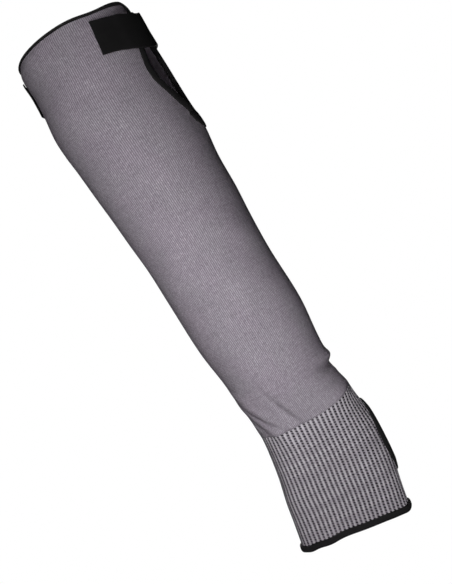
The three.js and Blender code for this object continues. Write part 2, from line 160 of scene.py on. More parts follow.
# %% Measures in millimetres
SLEEVE_LENGTH, CUFF_LENGTH = 459, 101
ARM_WIDTH, ARM_DEPTH = 109, 97
WRIST_WIDTH, WRIST_DEPTH, WRIST_SHIFT = 83.5, 60, 11
HEM_WIDTH, HEM_DEPTH, HEM_SHIFT = 94, 30, -0.3
HEM_TILT = radians(6.4)
HAND_FULLNESS = 0.2
KNIT_THICKNESS, RIB_THICKNESS = 1.5, 1.8
SLIT_LENGTH, SLIT_WIDTH, SLIT_CORNER = 101, 38.2, 9
SLIT_FAR_ANGLE = radians(-1.3)
THUMB_LENGTH, THUMB_WIDTH, THUMB_ABOVE_HEM, THUMB_SWELL = 49.5, 27, 57.5, 9.7
THUMB_ANGLE = radians(-17)
TAPE_THICKNESS, TAPE_GAP = 0.8, 0.5
HEM_TAPE_THICKNESS = 1.3
STRAP_WIDTH, STRAP_THICKNESS, STRAP_DROP = 29.5, 1.8, 19.5
CINCH_DEPTH, EDGE_WAVE, WAVE_REACH = 1.3, 7.5, 20
FOLD_HEIGHT, FOLD_RUN, FOLD_BREADTH = 2.4, 30, 9

BODY_LENGTH = SLEEVE_LENGTH - CUFF_LENGTH
RIM_EDGE = TAPE_GAP + TAPE_THICKNESS
HEM_EDGE = SLEEVE_LENGTH - TAPE_GAP - HEM_TAPE_THICKNESS
THUMB_DOWN = SLEEVE_LENGTH - THUMB_ABOVE_HEM
print("the fine knit is", BODY_LENGTH, "mm long and the ribbed one", CUFF_LENGTH, "mm")

# %% Sections of the arm and the hand
# down, width, depth, shift, fullness
BODY_SECTIONS = [
    (0.000, 0.26, 0.11, -0.12, 0.00),
    (0.025, 0.04, 0.03, -0.16, 0.00),
    (0.075, 0.05, 0.00, -0.12, 0.00),
    (0.123, 0.06, 0.00, -0.12, 0.00),
    (0.180, 0.00, 0.00, -0.17, 0.00),
    (0.223, 0.02, 0.00, -0.11, 0.00),
    (0.270, 0.09, 0.00, 0.00, 0.00),
    (0.335, 0.16, 0.04, 0.13, 0.00),
    (0.400, 0.29, 0.08, 0.21, 0.00),
    (0.470, 0.38, 0.16, 0.32, 0.00),
    (0.540, 0.53, 0.24, 0.38, 0.00),
    (0.630, 0.60, 0.31, 0.42, 0.00),
    (0.760, 0.61, 0.43, 0.60, 0.00),
    (0.850, 0.89, 0.60, 0.69, 0.00),
    (0.940, 1.08, 0.84, 0.76, 0.12),
    (1.000, 1.02, 1.00, 0.97, 0.30),
]
# down, width, depth, shift, tilt, fullness
CUFF_SECTIONS = [
    (0.00, -0.05, 0.00, 0.03, 0.00, 0.30),
    (0.10, 0.02, 0.10, 0.08, 0.00, 0.45),
    (0.34, 0.36, 0.42, 0.23, 0.22, 0.80),
    (0.58, 0.80, 0.68, 0.47, 0.55, 1.00),
    (0.75, 0.94, 0.84, 0.64, 0.80, 1.00),
    (1.00, 1.00, 1.00, 1.00, 1.00, 1.00),
]


def row_at(rows, at):
    """The columns of a table at places between its rows, on a smooth curve through them."""
    table = np.array(rows, float)
    down = table[:, 0]
    at = np.clip(np.atleast_1d(np.asarray(at, float)), down[0], down[-1])
    i = np.searchsorted(down[1:-1], at, side="left")
    before, after = np.maximum(i - 1, 0), np.minimum(i + 2, len(down) - 1)
    span = (down[i + 1] - down[i])[:, None]
    start, end = table[i], table[i + 1]
    t = (at - down[i])[:, None] / span
    leave = (end - table[before]) / (down[i + 1] - down[before])[:, None] * span
    arrive = (table[after] - start) / (down[after] - down[i])[:, None] * span
    smooth = 3 * t**2 - 2 * t**3
    curve = start * (1 - smooth) + end * smooth
    curve += leave * (t**3 - 2 * t**2 + t) + arrive * (t**3 - t**2)
    return curve[:, 1:].T


def section_at(down):
    """Half the width, half the depth, the shift, the tilt and the fullness of a section."""
    width, depth, shift, full = row_at(BODY_SECTIONS, down / BODY_LENGTH)
    arm = (
        (ARM_WIDTH + (WRIST_WIDTH - ARM_WIDTH) * width) / 2,
        (ARM_DEPTH + (WRIST_DEPTH - ARM_DEPTH) * depth) / 2,
        WRIST_SHIFT * shift,
        0 * shift,
        HAND_FULLNESS * full,
    )
    width, depth, shift, tilt, full = row_at(CUFF_SECTIONS, (down - BODY_LENGTH) / CUFF_LENGTH)
    hand = (
        (WRIST_WIDTH + (HEM_WIDTH - WRIST_WIDTH) * width) / 2,
        (WRIST_DEPTH + (HEM_DEPTH - WRIST_DEPTH) * depth) / 2,
        WRIST_SHIFT + (HEM_SHIFT - WRIST_SHIFT) * shift,
        HEM_TILT * tilt,
        HAND_FULLNESS * full,
    )
    return [np.where(down < BODY_LENGTH, a, b) for a, b in zip(arm, hand)]


print("sections:", len(BODY_SECTIONS), "on the arm and", len(CUFF_SECTIONS), "on the hand")

# %% Creases, waves of the edges and the strap's line
# down as a share of the sleeve, angle, slant, and shares of the largest fold's run, breadth, height
FOLDS = [
    (0.240, 4, 0, 0.55, 1.80, 0.65),
    (0.420, 58, 25, 0.80, 1.40, 0.45),
    (0.455, 72, 30, 0.90, 1.20, -0.45),
    (0.610, 120, 60, 1.00, 1.40, 0.30),
    (0.705, 12, 5, 0.60, 0.80, 0.60),
    (0.722, 25, 10, 0.70, 0.60, -0.60),
    (0.715, 158, 20, 0.70, 1.00, 0.50),
    (0.750, 118, 68, 0.75, 0.55, -0.90),
    (0.745, 98, 66, 0.70, 0.80, 0.55),
    (0.775, 132, 64, 0.45, 0.70, 0.70),
    (0.778, 42, -10, 0.60, 0.90, 0.60),
    (0.735, -95, 20, 1.10, 1.00, 0.50),
    (0.760, -130, -15, 0.90, 0.90, -0.55),
    (0.440, -70, 15, 1.20, 1.30, 0.50),
]
# the sharp wrinkles at the wrist, which are too fine for the solids
WRINKLES = [
    (0.704, 12, -4, 0.45, 0.42, 0.62),
    (0.721, 14, -4, 0.60, 0.30, -0.70),
    (0.719, 40, 6, 0.50, 0.34, -0.45),
    (0.737, 30, 4, 0.90, 0.50, 0.35),
    (0.749, 108, 73, 0.62, 0.30, -1.25),
    (0.752, 117, 68, 0.60, 0.36, 0.45),
    (0.757, 135, 47, 0.80, 0.28, -0.62),
    (0.745, 130, 50, 0.75, 0.42, 0.45),
    (0.764, 153, 50, 0.50, 0.36, -0.45),
    (0.690, 160, 30, 0.35, 0.40, 0.35),
    (0.130, 100, 50, 0.90, 0.90, 0.16),
    (0.205, 22, 64, 0.90, 0.60, 0.30),
]
# down as a share of the sleeve, angle and spread, and shares of the wave's reach and drop
EDGE_WAVES = [
    (0.00, 66, 16, 0.90, 0.24),
    (0.00, 34, 16, 0.90, -0.14),
    (0.78, -2, 42, 1.00, -1.00),
    (0.78, 160, 25, 1.00, -0.30),
    (1.00, 88, 48, 1.50, -0.40),
]
# the same for the small waves of the hem, which are too fine for the solids
HEM_WAVES = [
    (1.00, 50, 38, 0.80, 0.30),
    (1.00, 84, 16, 0.80, 0.12),
    (1.00, 116, 10, 0.60, 0.18),
    (1.00, 143, 9, 0.60, 0.10),
    (1.00, 30, 9, 0.60, 0.10),
]
# degrees from the thumb side to the back, fall as a share of the strap's width
STRAP_LINE = [
    (-80, 0.09),
    (-60, 0.17),
    (-40, 0.28),
    (-22, 0.26),
    (-4, 0.11),
    (30, 0.04),
    (90, 0.10),
    (190, 0.27),
]


def turn_between(start, end):
    return np.arctan2(np.sin(end - start), np.cos(end - start))


def soft_step(value, low, high):
    t = np.clip((value - low) / (high - low), 0, 1)
    return t * t * (3 - 2 * t)


def strap_centre(angle):
    return STRAP_DROP + STRAP_WIDTH * row_at(STRAP_LINE, -np.degrees(angle))[0]


def edge_drop(angle, down):
    """How far an edge or a seam has dropped from a level ring."""
    drop = 0 * down
    for share, at, spread, reach, deep in EDGE_WAVES + HEM_WAVES:
        around = turn_between(radians(at), angle) / radians(spread)
        along = (down - share * SLEEVE_LENGTH) / (reach * WAVE_REACH)
        drop = drop + EDGE_WAVE * deep * np.exp(-(around**2) - along**2)
    return drop


def relief(angle, down):
    """How far the creases, and the strap's pull, lift the knit off its plain form."""
    half_width, half_depth = section_at(down)[:2]
    radius = (half_width + half_depth) / 2
    height = 0 * down
    for share, at, slant, run, breadth, high in FOLDS + WRINKLES:
        around = turn_between(radians(at), angle) * radius
        along = down - share * SLEEVE_LENGTH
        lean = radians(slant)
        far = (around * np.cos(lean) - along * np.sin(lean)) / (run * FOLD_RUN)
        wide = (around * np.sin(lean) + along * np.cos(lean)) / (breadth * FOLD_BREADTH)
        height += high * FOLD_HEIGHT * np.exp(-(far**2) - wide**2)
    pulled = (down - strap_centre(turn_between(0, angle))) / (0.75 * STRAP_WIDTH)
    return height - CINCH_DEPTH * np.exp(-(pulled**2))


print("creases:", len(FOLDS), "and wrinkles:", len(WRINKLES))

# %% Places on the form
NUDGE = 0.01
SWELL_ABOVE, SWELL_SPREAD = 0.12, radians(36)


def form_point(angle, down, swell=THUMB_SWELL):
    half_width, half_depth, shift, tilt, full = section_at(down)
    along = (down - THUMB_DOWN) / (0.5 * THUMB_LENGTH) + SWELL_ABOVE
    around = turn_between(THUMB_ANGLE, angle) / SWELL_SPREAD
    across = half_width * np.cos(angle) * (1 + full * np.sin(angle) ** 2)
    across += swell * np.exp(-(along**2) - around**2)
    forward = half_depth * np.sin(angle) * (1 + full * np.cos(angle) ** 2)
    fall = down + across * np.sin(tilt) + edge_drop(angle, down)
    return np.stack([shift + across * np.cos(tilt), -forward, -fall], axis=1)


def face_at(angle, down):
    point = form_point(angle, down)
    around = (form_point(angle + NUDGE, down) - point) / NUDGE
    along = (form_point(angle, down + NUDGE) - point) / NUDGE
    normal = np.cross(around, along)
    return point, around, along, normal / np.linalg.norm(normal, axis=1)[:, None]


def sleeve_point(angle, down, lift):
    """Places on the sleeve, in millimetres, from their angle, way down and lift."""
    point, _, _, normal = face_at(angle, down)
    return point + normal * (lift + relief(angle, down))[:, None]


print("the front of the arm opening is at", sleeve_point(np.array([pi / 2]), np.array([0.0]), 0.0))

# %% [markdown]
# ## From flat cloth to a worn sleeve
# A tailor cuts cloth flat and then shapes it, and so does this script: each sheet is a flat grid,
# with x the way round and y the way down. Its openings are cut while it is flat, its UV map is
# written from the flat cloth so that the knit follows the sleeve, and only then is it laid on
# the form. Modelling on the round form itself would make each of these steps harder.

# %% A flat sheet
ARM_RADIUS = (ARM_WIDTH + ARM_DEPTH) / 4
MERGE = 0.05 * MM


def flat_sheet(low, high, columns, rows):
    """A flat grid from one corner to the other."""
    bm = bmesh.new()
    bmesh.ops.create_grid(bm, x_segments=columns, y_segments=rows, size=0.5)
    size = Vector(high) - Vector(low)
    middle = (Vector(high) + Vector(low)) / 2
    bmesh.ops.scale(bm, verts=bm.verts, vec=(size.x, size.y, 1))
    bmesh.ops.translate(bm, verts=bm.verts, vec=(middle.x, middle.y, 0))
    return bm


def places(bm):
    return np.array([v.co for v in bm.verts])


def put(bm, points):
    for v, point in zip(bm.verts, points):
        v.co = point


print("an angle of 1 is", ARM_RADIUS, "mm on the flat cloth")

# %% An opening in a sheet
def inside(outline, points):
    """Which points lie inside a closed outline."""
    x, y = points[:, 0, None], points[:, 1, None]
    a, b = outline, np.roll(outline, -1, axis=0)
    crosses = (a[:, 1] > y) != (b[:, 1] > y)
    rise = np.where(b[:, 1] == a[:, 1], 1, b[:, 1] - a[:, 1])
    left = x < (b[:, 0] - a[:, 0]) * (y - a[:, 1]) / rise + a[:, 0]
    return (crosses & left).sum(1) % 2 == 1


def nearest_on(outline, point):
    a, b = outline, np.roll(outline, -1, axis=0)
    step = b - a
    t = ((point - a) * step).sum(1) / np.maximum((step**2).sum(1), 1e-12)
    near = a + step * np.clip(t, 0, 1)[:, None]
    return near[((near - point) ** 2).sum(1).argmin()]


def cut_opening(bm, outline):
    """Takes out the faces inside an outline and pulls the cut edge on to it."""
    centres = np.array([f.calc_center_median() for f in bm.faces])
    gone = [f for f, out in zip(bm.faces[:], inside(outline, centres[:, :2])) if out]
    rim = {v for f in gone for v in f.verts}
    bmesh.ops.delete(bm, geom=gone, context="FACES")
    for v in [v for v in rim if v.is_valid]:
        v.co.x, v.co.y = nearest_on(outline, np.array(v.co[:2]))


print("an opening takes out whole faces, and then its edge is pulled on to the outline")

# %% A finished piece
def piece_from(bm, name, *materials):
    """Makes an object of a finished mesh, with its place in its vertices."""
    for face in bm.faces:
        face.smooth = True
    mesh = bpy.data.meshes.new(name)
    bm.to_mesh(mesh)
    bm.free()
    piece = bpy.data.objects.new(name, mesh)
    bpy.context.scene.collection.objects.link(piece)
    for material in materials:
        mesh.materials.append(material)
    print(name, "has", len(mesh.polygons), "faces")
    return piece


def settle(piece, node):
    """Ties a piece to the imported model."""
    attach(piece, "root")
    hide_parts(node)


# %% [markdown]
# ## Knitted finishes
# At arm's length a knit reads as fine upright lines, close up as rows of V-shaped stitches, and its
# heathered yarn makes every stitch a little lighter or darker than the next. An image texture
# would give one of these scales only. Maths on the UV map gives them all: whole numbers of wales
# go round, so the pattern meets itself where the tube closes.

# %% A small kit for node materials
class Finish:
    """A material in the making. Each call adds one node and gives its output."""

    def __init__(self, name):
        self.material = bpy.data.materials.new(name)
        self.material.use_nodes = True
        self.tree = self.material.node_tree
        self.shader = self.tree.nodes["Principled BSDF"]

    def join(self, value, socket):
        if isinstance(value, bpy.types.NodeSocket):
            self.tree.links.new(value, socket)
        else:
            socket.default_value = value

    def node(self, kind, inputs, output=0, **settings):
        made = self.tree.nodes.new("ShaderNode" + kind)
        for key, value in settings.items():
            setattr(made, key, value)
        for key, value in inputs.items():
            self.join(value, made.inputs[key])
        return made.outputs[output]

    def math(self, operation, *values):
        return self.node("Math", dict(enumerate(values)), operation=operation)

    def cloth(self):
        """The two numbers of the cloth's UV map."""
        uv = self.node("UVMap", {}, uv_map="cloth")
        return [self.node("SeparateXYZ", {0: uv}, output) for output in (0, 1)]

    def between(self, value, low, high, start=0.0, end=1.0):
        """A soft step from start to end as a value goes from low to high."""
        inputs = {"Value": value, "From Min": low, "From Max": high}
        inputs |= {"To Min": start, "To Max": end}
        return self.node("MapRange", inputs, interpolation_type="SMOOTHSTEP")

    def pair(self, x, y):
        return self.node("CombineXYZ", {0: x, 1: y})

    def noise(self, x, y, detail=2.0):
        inputs = {"Vector": self.pair(x, y), "Scale": 1.0, "Detail": detail}
        return self.node("TexNoise", inputs, noise_dimensions="2D")

    def speck(self, x, y):
        """A random number for each whole step of x and y."""
        whole = self.pair(self.math("FLOOR", x), self.math("FLOOR", y))
        return self.node("TexWhiteNoise", {"Vector": whole}, noise_dimensions="2D")

    def blend(self, share, first, second):
        return self.node("Mix", {0: share, 6: first, 7: second}, 2, data_type="RGBA")

    def close(self, color, height, depth, roughness, specular, sheen):
        """Puts colour and bump on the shader, and its constant values on its own sockets."""
        bump = self.node("Bump", {"Strength": 1.0, "Distance": depth, "Height": height})
        self.join(color, self.shader.inputs["Base Color"])
        self.join(bump, self.shader.inputs["Normal"])
        self.shader.inputs["Roughness"].default_value = roughness
        self.shader.inputs["Specular IOR Level"].default_value = specular
        self.shader.inputs["Sheen Weight"].default_value = sheen
        self.shader.inputs["Sheen Roughness"].default_value = 0.5
        return self.material


print("a finish starts from Blender's Principled shader")

# %% Stitches and the yarn's colour
def stitches(finish, column, row):
    """V-shaped stitches: how high the yarn stands, and a random number for each stitch."""
    side = finish.math("ABSOLUTE", finish.math("SUBTRACT", finish.math("FRACT", column), 0.5))
    slope = finish.math("MULTIPLY_ADD", side, 1.3, row)
    along = finish.math("FRACT", slope)
    leg = finish.math("SUBTRACT", finish.math("MULTIPLY", side, 4.0), 1.0)
    leg = finish.math("SUBTRACT", 1.0, finish.math("POWER", leg, 2.0))
    bulge = finish.math("MULTIPLY_ADD", along, 2.0, -1.0)
    bulge = finish.math("SUBTRACT", 1.0, finish.math("POWER", bulge, 2.0))
    height = finish.math("SQRT", finish.math("MAXIMUM", finish.math("MULTIPLY", leg, bulge), 0.0))
    return height, finish.speck(finish.math("MULTIPLY", column, 2.0), slope)


def grey(level, mauve=0.0):
    """A colour of the yarn: a grey, turned a little towards mauve."""
    return (level * (1 + 0.08 * mauve), level * (1 - 0.06 * mauve), level * (1 + 0.125 * mauve), 1)


print("a middle grey, turned to mauve:", [round(part, 3) for part in grey(0.3, 1.0)[:3]])

# %% The fine knit of the arm
BODY_WALES = 204
BODY_COURSE = 1.25
YARN_DARK, YARN_MID, YARN_LIGHT = 0.10, 0.31, 0.62
YARN_WARM = (1.012, 0.985, 1.008, 1)
# how far a stitch's own number, a streak, a band and a cloud change the yarn's tone
BODY_TONES = (0.30, 0.12, 0.12, 0.14)


def fine_knit(name, brightness):
    finish = Finish(name)
    around, down = finish.cloth()
    column = finish.math("MULTIPLY", around, BODY_WALES)
    row = finish.math("DIVIDE", down, BODY_COURSE)
    height, chance = stitches(finish, column, row)
    streak = finish.noise(column, finish.math("MULTIPLY", down, 0.09))
    band = finish.noise(finish.math("MULTIPLY", around, 5.0), finish.math("MULTIPLY", down, 0.55))
    cloud = finish.noise(finish.math("MULTIPLY", around, 14.0), finish.math("MULTIPLY", down, 0.035))
    tone = 0.5
    for part, weight in zip((chance, streak, band, cloud), BODY_TONES):
        tone = finish.math("MULTIPLY_ADD", finish.math("SUBTRACT", part, 0.5), weight, tone)
    tint = finish.noise(finish.math("MULTIPLY_ADD", around, 11.0, 40.0),
                        finish.math("MULTIPLY", down, 0.03))
    yarn = finish.blend(finish.between(tone, 0.1, 0.5), grey(YARN_DARK * brightness, 1.0),
                        grey(YARN_MID * brightness, 0.7))
    yarn = finish.blend(finish.between(tone, 0.5, 0.95), yarn, grey(YARN_LIGHT * brightness, 0.3))
    warm = finish.blend(finish.between(tint, 0.35, 0.65), (1.0, 1.0, 1.0, 1), YARN_WARM)
    yarn = finish.node("Mix", {0: 1.0, 6: yarn, 7: warm}, 2, data_type="RGBA", blend_type="MULTIPLY")
    # painted shade: the low parts of each stitch and the gaps between the wales are painted darker
    side = finish.math("ABSOLUTE", finish.math("SUBTRACT", finish.math("FRACT", column), 0.5))
    shade = finish.math("MULTIPLY", finish.between(height, 0.0, 0.75, 0.35, 1.0),
                        finish.between(side, 0.22, 0.46, 1.0, 0.18))
    color = finish.blend(shade, grey(YARN_DARK * 0.75 * brightness, 1.2), yarn)
    return finish.close(color, height, 0.10 * MM, roughness=0.9, specular=0.05, sheen=0.0)


body_knit = fine_knit("body_knit", 1.0)
# the inside is the same knit painted lighter: painted light in the shaded inside of the arm
inner_knit_painted_light = fine_knit("inner_knit_painted_light", 1.5)
print("fine knit:", BODY_WALES, "wales round")

# %% The ribbed knit of the hand
RIBS = 60
RIB_COURSE = 2.2
# RIB_GROOVE is the sunk dotted wale, darker partly by its own yarn and partly by painted shade
RIB_DARK, RIB_LIGHT, RIB_GROOVE, RIB_DOT = 0.27, 0.50, 0.19, 0.010
# how far a stitch's own number and the dots' wander change the yarn's tone
RIB_TONES = (0.5, 0.4)
# in shares of a rib, and the dots' heights in shares of a course
DOT_PLACE, DOT_WIDTH, DOT_HEIGHTS = 0.70, 0.30, (0.20, 0.26)


def dots(finish, x, rib, down):
    """Dark holes in a row down each rib: 1 in a hole and 0 beside it."""
    wander = finish.noise(finish.math("MULTIPLY", rib, 0.9), finish.math("MULTIPLY", down, 0.12))
    lean = finish.math("MULTIPLY", finish.math("SUBTRACT", x, DOT_PLACE), 0.55)
    row = finish.math("ADD", finish.math("DIVIDE", down, RIB_COURSE), lean)
    row = finish.math("MULTIPLY_ADD", wander, 0.8, row)
    size = finish.speck(finish.math("ADD", rib, 0.5), row)
    y = finish.math("SUBTRACT", finish.math("FRACT", row), 0.5)
    aside = finish.math("ABSOLUTE", finish.math("SUBTRACT", x, DOT_PLACE))
    across = finish.math("DIVIDE", aside, DOT_WIDTH)
    along = finish.math("DIVIDE", y, finish.between(size, 0.0, 1.0, *DOT_HEIGHTS))
    away = finish.math("ADD", finish.math("POWER", across, 2.0), finish.math("POWER", along, 2.0))
    return finish.between(away, 0.8, 1.2, 1.0, 0.0), wander


def ribbed_knit(name, brightness):
    """Light ribs and dotted ones in turn."""
    finish = Finish(name)
    around, down = finish.cloth()
    column = finish.math("MULTIPLY", around, RIBS)
    x = finish.math("FRACT", column)
    height, chance = stitches(finish, finish.math("ADD", finish.math("MULTIPLY", x, 2.0), 0.1),
                              finish.math("DIVIDE", down, RIB_COURSE / 1.5))
    dot, wander = dots(finish, x, finish.math("FLOOR", column), down)
    aside = finish.math("ABSOLUTE", finish.math("SUBTRACT", x, DOT_PLACE))
    # partly the dotted wale's own darker yarn, partly painted shade in its sunk groove
    groove = finish.between(aside, 0.20, 0.30, 1.0, 0.0)
    tone = 0.5
    for part, weight in zip((chance, wander), RIB_TONES):
        tone = finish.math("MULTIPLY_ADD", finish.math("SUBTRACT", part, 0.5), weight, tone)
    light = finish.blend(finish.between(tone, 0.0, 1.0), grey(RIB_DARK * brightness, 0.6),
                         grey(RIB_LIGHT * brightness, 0.4))
    mid = finish.blend(groove, light, grey(RIB_GROOVE * brightness, 0.8))
    color = finish.blend(dot, mid, grey(RIB_DOT * brightness, 1.4))
    rise = finish.math("MULTIPLY_ADD", height, 0.35, finish.math("MULTIPLY", dot, -1.0))
    return finish.close(color, rise, 0.25 * MM, roughness=0.9, specular=0.05, sheen=0.0)


cuff_knit = ribbed_knit("cuff_knit", 1.0)
# the inside is the same ribbed knit painted darker: painted shade inside the cuff
inner_rib_painted_shade = ribbed_knit("inner_rib_painted_shade", 0.4)
print("ribbed knit:", RIBS, "ribs round")

# %% [markdown]
# ## Black tape, strap and loop
# Black cloth is never quite black: it shows its weave in the light that grazes it. The tape has a
# fine twill, the strap the cross ribs of webbing, and the loop patch a brushed pile.

# %% Black finishes
def black_cloth(name, pitches, depth, level, slant=0.0, pile=0.0):
    """A dull weave, with its pitch along and across, and its depth, in millimetres."""
    pitch_along, pitch_across = pitches
    finish = Finish(name)
    along, across = finish.cloth()
    run = finish.math("MULTIPLY_ADD", across, slant, along)
    wave = finish.math("SINE", finish.math("MULTIPLY", run, 2 * pi / pitch_along))
    weft = finish.math("SINE", finish.math("MULTIPLY", across, 2 * pi / pitch_across))
    weave = finish.math("MULTIPLY_ADD", finish.math("MULTIPLY", wave, weft), 0.5, 0.5)
    fuzz = finish.noise(finish.math("MULTIPLY", along, 2.2), finish.math("MULTIPLY", across, 2.2), 4.0)
    wear = finish.noise(finish.math("MULTIPLY", along, 0.05), finish.math("MULTIPLY", across, 0.1))
    height = finish.math("MULTIPLY_ADD", fuzz, 0.4 + pile, weave)
    # painted light: the weave's raised threads are painted lighter than its hollows; the slow wear
    # noise is the cloth's own uneven tone
    tone = finish.math("MULTIPLY", finish.math("ADD", weave, wear), 0.5)
    color = finish.blend(tone, (level * 0.55, level * 0.53, level * 0.56, 1),
                         (level * 1.5, level * 1.45, level * 1.5, 1))
    return finish.close(color, height, depth * MM, roughness=0.9, specular=0.10, sheen=0.015)


binding_tape = black_cloth("binding_tape", (1.1, 0.9), depth=0.12, level=0.0130, slant=0.6)
strap_fabric = black_cloth("strap_fabric", (0.9, 1.4), depth=0.12, level=0.0080)
loop_fabric = black_cloth("loop_fabric", (0.8, 0.8), depth=0.30, level=0.0060, pile=1.5)
print("black finishes: tape, strap and loop")

# %% [markdown]
# ## The fine knit tube
# The arm of the sleeve is one sheet. It closes at the side away from the thumb, where its two
# edges are merged, and a slit runs down from the arm opening on the thumb side. Solidify gives the
# wall its thickness inwards, and the inside gets the same knit painted lighter: painted light in
# the shaded inside of the tube.

# %% The outline of the slit
# share of the slit's length, share of its width
SLIT_SPREAD = [
    (0.00, 0.53),
    (0.20, 0.70),
    (0.40, 0.88),
    (0.56, 1.00),
    (0.66, 0.98),
    (0.78, 0.82),
    (0.88, 0.63),
    (0.96, 0.36),
    (1.00, 0.14),
]
SLIT_TIP_START = 0.95
CORNER_POINTS, NEAR_POINTS, TIP_POINTS, FAR_POINTS = 12, 90, 24, 80


def curve_points(corners, count):
    """Points on the curve that starts and ends at the outer corners and bends by the middle one."""
    t = np.linspace(0, 1, count)[:, None]
    a, b, c = (np.array(corner, float) for corner in corners)
    return a * (1 - t) ** 2 + 2 * b * t * (1 - t) + c * t**2


def slit_outline():
    """Down the slit's near edge, round its tip and up its far edge, on the flat cloth."""
    far_x = SLIT_FAR_ANGLE * ARM_RADIUS

    def near_x(share):
        return far_x + SLIT_WIDTH * row_at(SLIT_SPREAD, share)[0]

    corner = SLIT_CORNER / SLIT_LENGTH
    top = float(near_x(0)[0])
    start = float(near_x(corner)[0])
    low = RIM_EDGE + SLIT_CORNER
    near_bend = [(top + SLIT_CORNER, RIM_EDGE), (start, RIM_EDGE), (start, low)]
    near_corner = curve_points(near_bend, CORNER_POINTS)
    shares = np.linspace(corner, SLIT_TIP_START, NEAR_POINTS)
    near_edge = np.stack([near_x(shares), RIM_EDGE + shares * SLIT_LENGTH], axis=1)
    half = (near_edge[-1, 0] - far_x) / 2
    turn = np.linspace(0, pi, TIP_POINTS)
    tip = np.stack([
        far_x + half + half * np.cos(turn),
        near_edge[-1, 1] + (1 - SLIT_TIP_START) * SLIT_LENGTH * np.sin(turn),
    ], axis=1)
    far_downs = np.linspace(near_edge[-1, 1], low, FAR_POINTS)
    far_edge = np.stack([0 * far_downs + far_x, far_downs], axis=1)
    far_bend = [(far_x, low), (far_x, RIM_EDGE), (far_x - SLIT_CORNER, RIM_EDGE)]
    far_corner = curve_points(far_bend, CORNER_POINTS)
    return np.concatenate([near_corner, near_edge[1:], tip[1:], far_edge[1:], far_corner[1:]])


slit = slit_outline()
print("the slit is", round(float(np.ptp(slit[:, 1])), 1), "mm long")

# %% The arm's tube
BODY_COLUMNS, BODY_ROWS = 208, 210


def add_wall(piece, thickness, inner_material):
    wall = piece.modifiers.new("wall", "SOLIDIFY")
    wall.thickness = thickness * MM
    wall.offset = -1
    wall.use_even_offset = True
    wall.material_offset = inner_material


def write_cloth_map(bm, uv_of):
    """Writes the UV map from the flat cloth: the share of the way round, and millimetres down."""
    layer = bm.loops.layers.uv.new("cloth")
    uv = uv_of(places(bm))
    bm.verts.index_update()
    for face in bm.faces:
        for loop in face.loops:
            loop[layer].uv = uv[loop.vert.index]


bm = flat_sheet((-pi * ARM_RADIUS, RIM_EDGE), (pi * ARM_RADIUS, BODY_LENGTH), BODY_COLUMNS, BODY_ROWS)
above = np.array([[slit[-1, 0], -SLIT_CORNER], [slit[0, 0], -SLIT_CORNER]])
cut_opening(bm, np.concatenate([slit, above]))
write_cloth_map(bm, lambda flat: flat[:, :2] / (2 * pi * ARM_RADIUS, 1))
flat = places(bm)
put(bm, sleeve_point(flat[:, 0] / ARM_RADIUS, flat[:, 1], 0 * flat[:, 0]) * MM)
bmesh.ops.remove_doubles(bm, verts=bm.verts, dist=MERGE)
body_area = sum(face.calc_area() for face in bm.faces)
arm_tube = piece_from(bm, "arm_tube", body_knit, inner_knit_painted_light)
add_wall(arm_tube, KNIT_THICKNESS, 1)
settle(arm_tube, "sleeve_body")
print("the arm's cloth covers", round(body_area, 4), "square metres")

# %% [markdown]
# ## The ribbed cuff
# Ribs stand proud, so they are modelled and not only painted: six columns of faces to each rib,
# with the light wale raised and the dotted one sunk. They are flatter at the side away from the
# thumb, where the dark dots still show between them. The hand is much wider than it is deep, and
# equal angles would crowd the ribs at its sides, so the columns are spread by the length round.

# %% Even columns round the hand
ROUND = pi / 2 + np.linspace(-pi, pi, 721)
HAND_DOWNS = np.linspace(BODY_LENGTH, SLEEVE_LENGTH, 103)


def length_round(down):
    """How far round from the front each angle lies, as a share of the way round."""
    ring = form_point(ROUND, 0 * ROUND + down, swell=0)
    step = np.linalg.norm(np.diff(ring, axis=0), axis=1)
    far = np.concatenate([[0], np.cumsum(step)])
    return (far - np.interp(pi / 2, ROUND, far)) / far[-1]


SHARES_ROUND = np.array([length_round(down) for down in HAND_DOWNS])


def between_rows(values, downs, read):
    at = np.clip((downs - HAND_DOWNS[0]) / (HAND_DOWNS[1] - HAND_DOWNS[0]), 0, len(HAND_DOWNS) - 1.001)
    found = []
    for value, row in zip(values, at):
        i = int(row)
        found.append((1 - row + i) * read(value, i) + (row - i) * read(value, i + 1))
    return np.array(found)


def hand_angle(share, down):
    return between_rows(share, down, lambda value, i: np.interp(value, SHARES_ROUND[i], ROUND))


def hand_share(angle, down):
    return between_rows(angle, down, lambda value, i: np.interp(value, ROUND, SHARES_ROUND[i]))


hem_places = form_point(ROUND, 0 * ROUND + HEM_EDGE)
print("the cuff is", round(float(np.ptp(hem_places[:, 0])), 1), "mm wide at the hem")

# %% The cuff
CUFF_COLUMNS_PER_RIB, CUFF_ROWS = 6, 64
RIB_DEPTH, RIB_PHASE, RIB_GROWTH = 0.6, 0.20, 5
FLAT_RIBS, FLAT_STEP, FLATTENING = (0.14, 0.36), 0.04, 0.8


def thumb_outline():
    turn = np.linspace(0, 2 * pi, 90, endpoint=False)
    step = np.linalg.norm(face_at(np.array([THUMB_ANGLE]), np.array([THUMB_DOWN]))[1])
    width = THUMB_WIDTH / 2 / step
    angle = THUMB_ANGLE + width * np.cos(turn)
    return np.stack([angle, THUMB_DOWN + THUMB_LENGTH / 2 * np.sin(turn)], axis=1)


def rib_lift(share, down):
    """The light wale stands proud of the dotted one, and less so at the side away from the thumb."""
    wave = np.cos(2 * pi * (share * RIBS - RIB_PHASE))
    grown = np.clip((down - BODY_LENGTH) / RIB_GROWTH, 0, 1)
    low, high = FLAT_RIBS
    flatter = soft_step(share, low, low + FLAT_STEP) * (1 - soft_step(share, high, high + FLAT_STEP))
    return RIB_DEPTH * (0.5 + 0.5 * wave - 1) * grown * (1 - FLATTENING * flatter)


